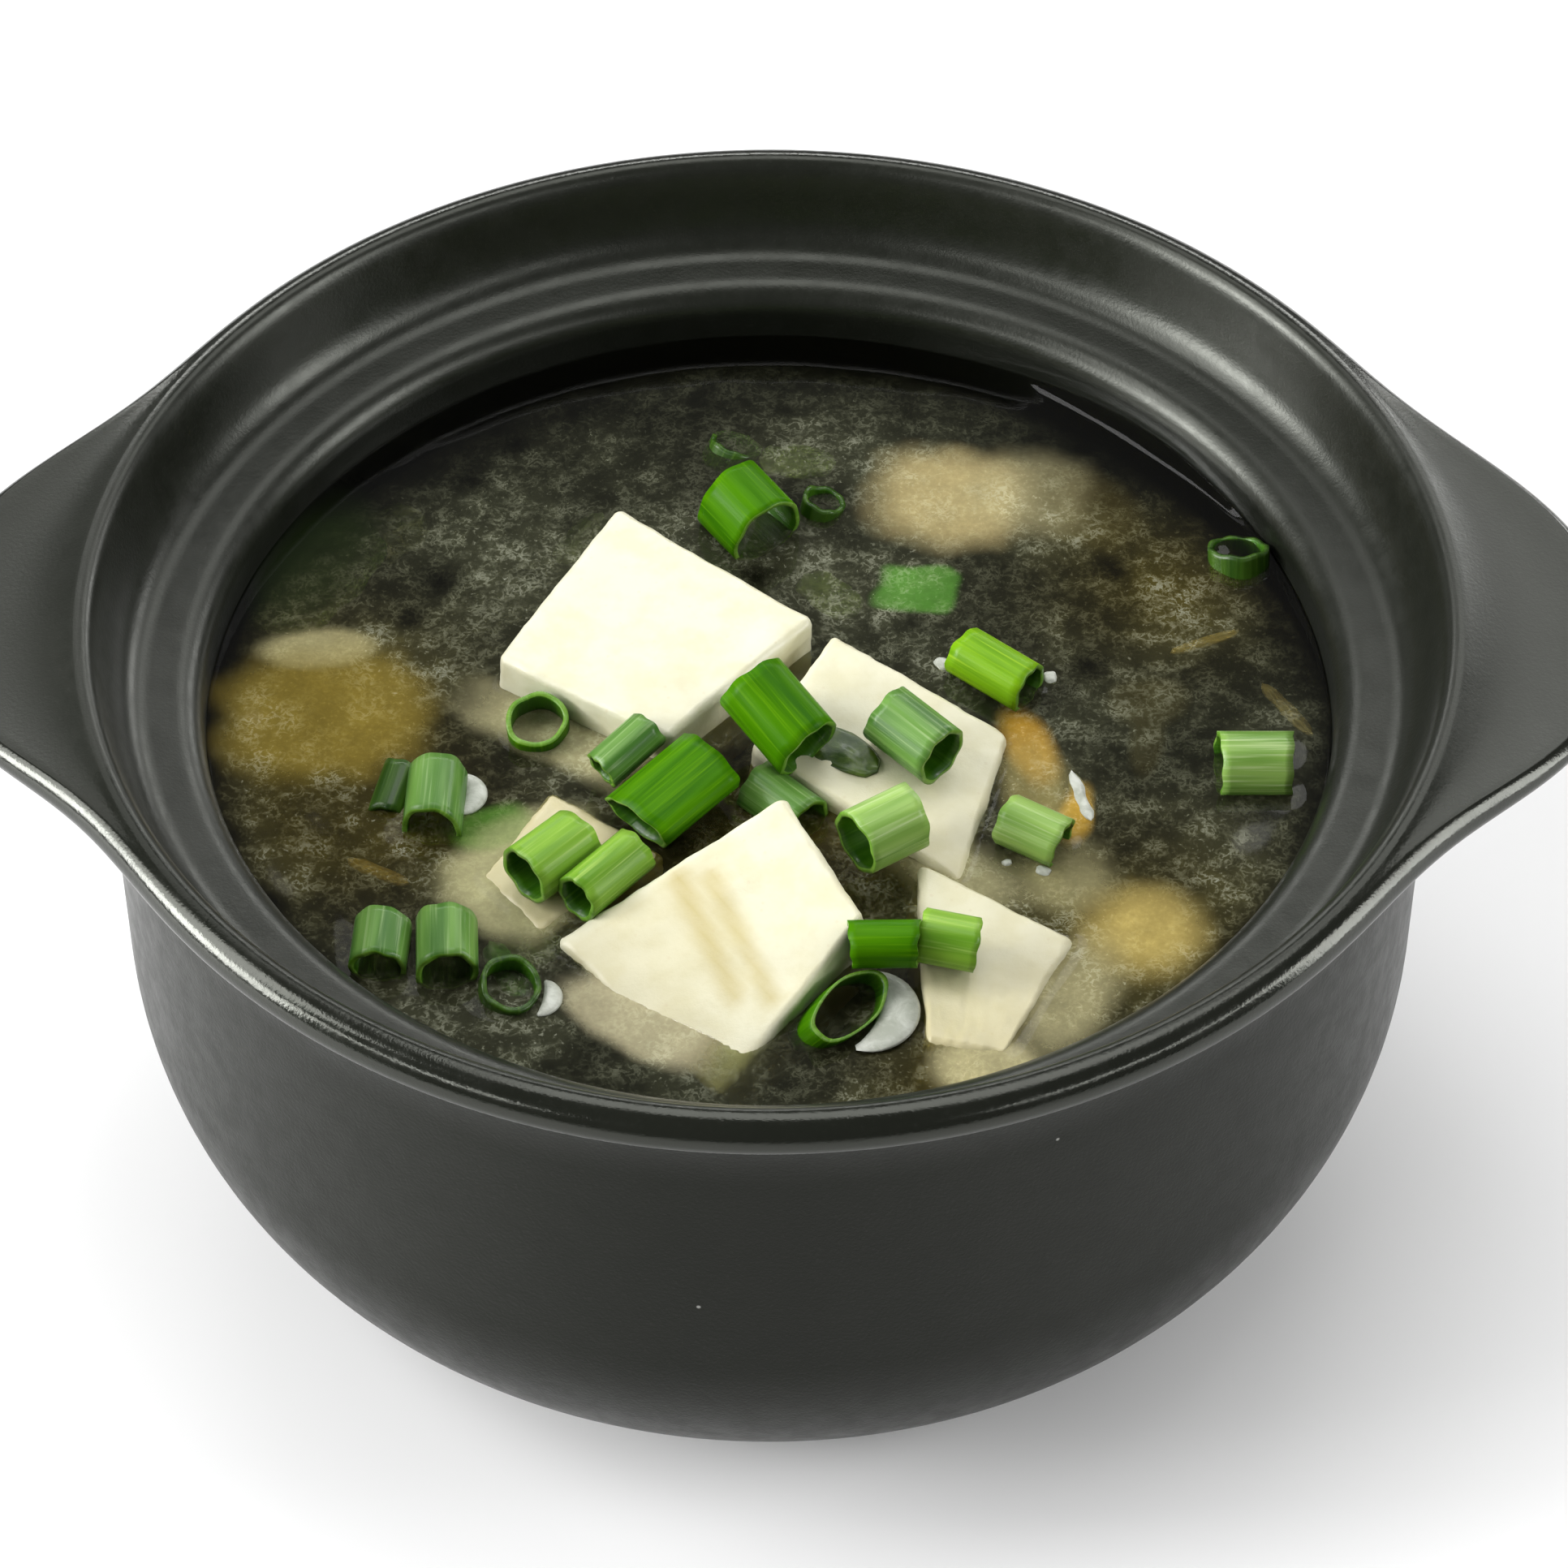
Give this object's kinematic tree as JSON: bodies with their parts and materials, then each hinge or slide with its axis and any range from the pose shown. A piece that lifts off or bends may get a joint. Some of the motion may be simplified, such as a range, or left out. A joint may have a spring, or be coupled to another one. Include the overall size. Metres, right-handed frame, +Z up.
{
  "type": "miso soup in a pot",
  "caption": "Miso soup with cut tofu and sliced scallions in a round black stoneware pot with a lid ledge and a wing handle on each side.",
  "frame": {"origin": "centre of the pot's base, on the surface it stands on", "axes": "+X through the right handle, +Z up, +Y away from the viewer of the picture"},
  "size_m": [0.1908, 0.16, 0.079],
  "materials": {
    "stoneware": "satin charcoal glaze",
    "broth": "cloudy liquid, glossy surface",
    "tofu": "moist, soft",
    "scallion": "waxy leaf with fine veins along it"
  },
  "bodies": {
    "root": {"pot": "stoneware", "soup": "broth", "tofu_1": "tofu", "tofu_2": "tofu", "tofu_3": "tofu", "tofu_4": "tofu", "tofu_5": "tofu", "scallion_01": "scallion", "scallion_02": "scallion", "scallion_03": "scallion", "scallion_04": "scallion", "scallion_05": "scallion", "scallion_06": "scallion", "scallion_07": "scallion", "scallion_08": "scallion", "scallion_09": "scallion", "scallion_10": "scallion", "scallion_11": "scallion", "scallion_12": "scallion", "scallion_13": "scallion", "scallion_14": "scallion", "scallion_15": "scallion", "scallion_16": "scallion", "scallion_17": "scallion", "scallion_18": "scallion", "scallion_19": "scallion", "scallion_20": "scallion", "scallion_21": "scallion", "scallion_22": "scallion"}
  },
  "joints": []
}
